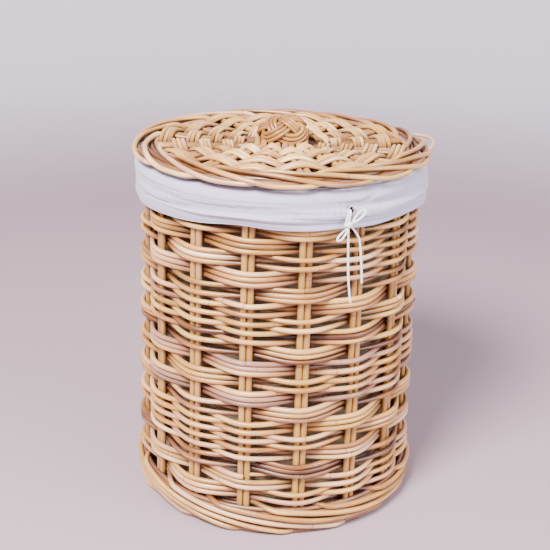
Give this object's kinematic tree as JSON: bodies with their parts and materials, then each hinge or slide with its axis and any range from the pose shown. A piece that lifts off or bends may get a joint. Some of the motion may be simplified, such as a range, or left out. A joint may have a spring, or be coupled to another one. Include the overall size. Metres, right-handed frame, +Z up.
{
  "type": "lidded laundry basket",
  "caption": "Round woven rattan laundry basket with a lift-off lid and knob, lined with a drawstring cotton bag whose cuff folds over the rim.",
  "frame": {"origin": "middle of the underside of the foot border, on the floor", "axes": "+Z up along the basket's axis, -Y towards the front; the drawstring bow hangs at the front towards +X"},
  "size_m": [0.4179, 0.421, 0.539],
  "materials": {
    "rattan_weavers": "satin natural cane",
    "rattan_stakes": "satin natural cane",
    "rattan_lid": "satin pale cane",
    "liner_cotton": "plain weave cotton",
    "drawstring_cotton": "twisted cotton cord"
  },
  "bodies": {
    "basket": {"foot_border": "rattan_weavers", "foot_wale": "rattan_weavers", "weave_band_01": "rattan_weavers", "weave_band_02": "rattan_weavers", "weave_band_03": "rattan_weavers", "weave_band_04": "rattan_weavers", "weave_band_05": "rattan_weavers", "weave_band_06": "rattan_weavers", "weave_band_07": "rattan_weavers", "weave_band_08": "rattan_weavers", "weave_band_09": "rattan_weavers", "weave_band_10": "rattan_weavers", "stake_pair_01": "rattan_stakes", "stake_pair_02": "rattan_stakes", "stake_pair_03": "rattan_stakes", "stake_pair_04": "rattan_stakes", "stake_pair_05": "rattan_stakes", "stake_pair_06": "rattan_stakes", "stake_pair_07": "rattan_stakes", "stake_pair_08": "rattan_stakes", "base_weave_inner": "rattan_weavers", "base_weave_outer": "rattan_weavers", "rim_border": "rattan_weavers", "liner_side": "liner_cotton", "liner_base": "liner_cotton", "drawstring_ring": "drawstring_cotton", "drawstring_leads": "drawstring_cotton", "bow_knot": "drawstring_cotton", "bow_loop_left": "drawstring_cotton", "bow_loop_right": "drawstring_cotton", "drawstring_tail_long": "drawstring_cotton", "drawstring_tail_short": "drawstring_cotton"},
    "lid": {"lid_arm_pair_01": "rattan_lid", "lid_arm_pair_02": "rattan_lid", "lid_arm_pair_03": "rattan_lid", "lid_arm_pair_04": "rattan_lid", "lid_arm_pair_05": "rattan_lid", "lid_arm_pair_06": "rattan_lid", "lid_arm_pair_07": "rattan_lid", "lid_arm_pair_08": "rattan_lid", "lid_weave_inner": "rattan_lid", "lid_weave_outer": "rattan_lid", "lid_border": "rattan_lid", "lid_locating_ring": "rattan_lid", "lid_knob": "rattan_lid", "lid_knob_core": "rattan_lid", "lid_knob_lashing": "rattan_lid"}
  },
  "joints": [
    {"name": "lid_lift", "type": "slide", "parent": "basket", "child": "lid", "axis": [0, 0, 1], "range_m": [0, 0.3]}
  ]
}
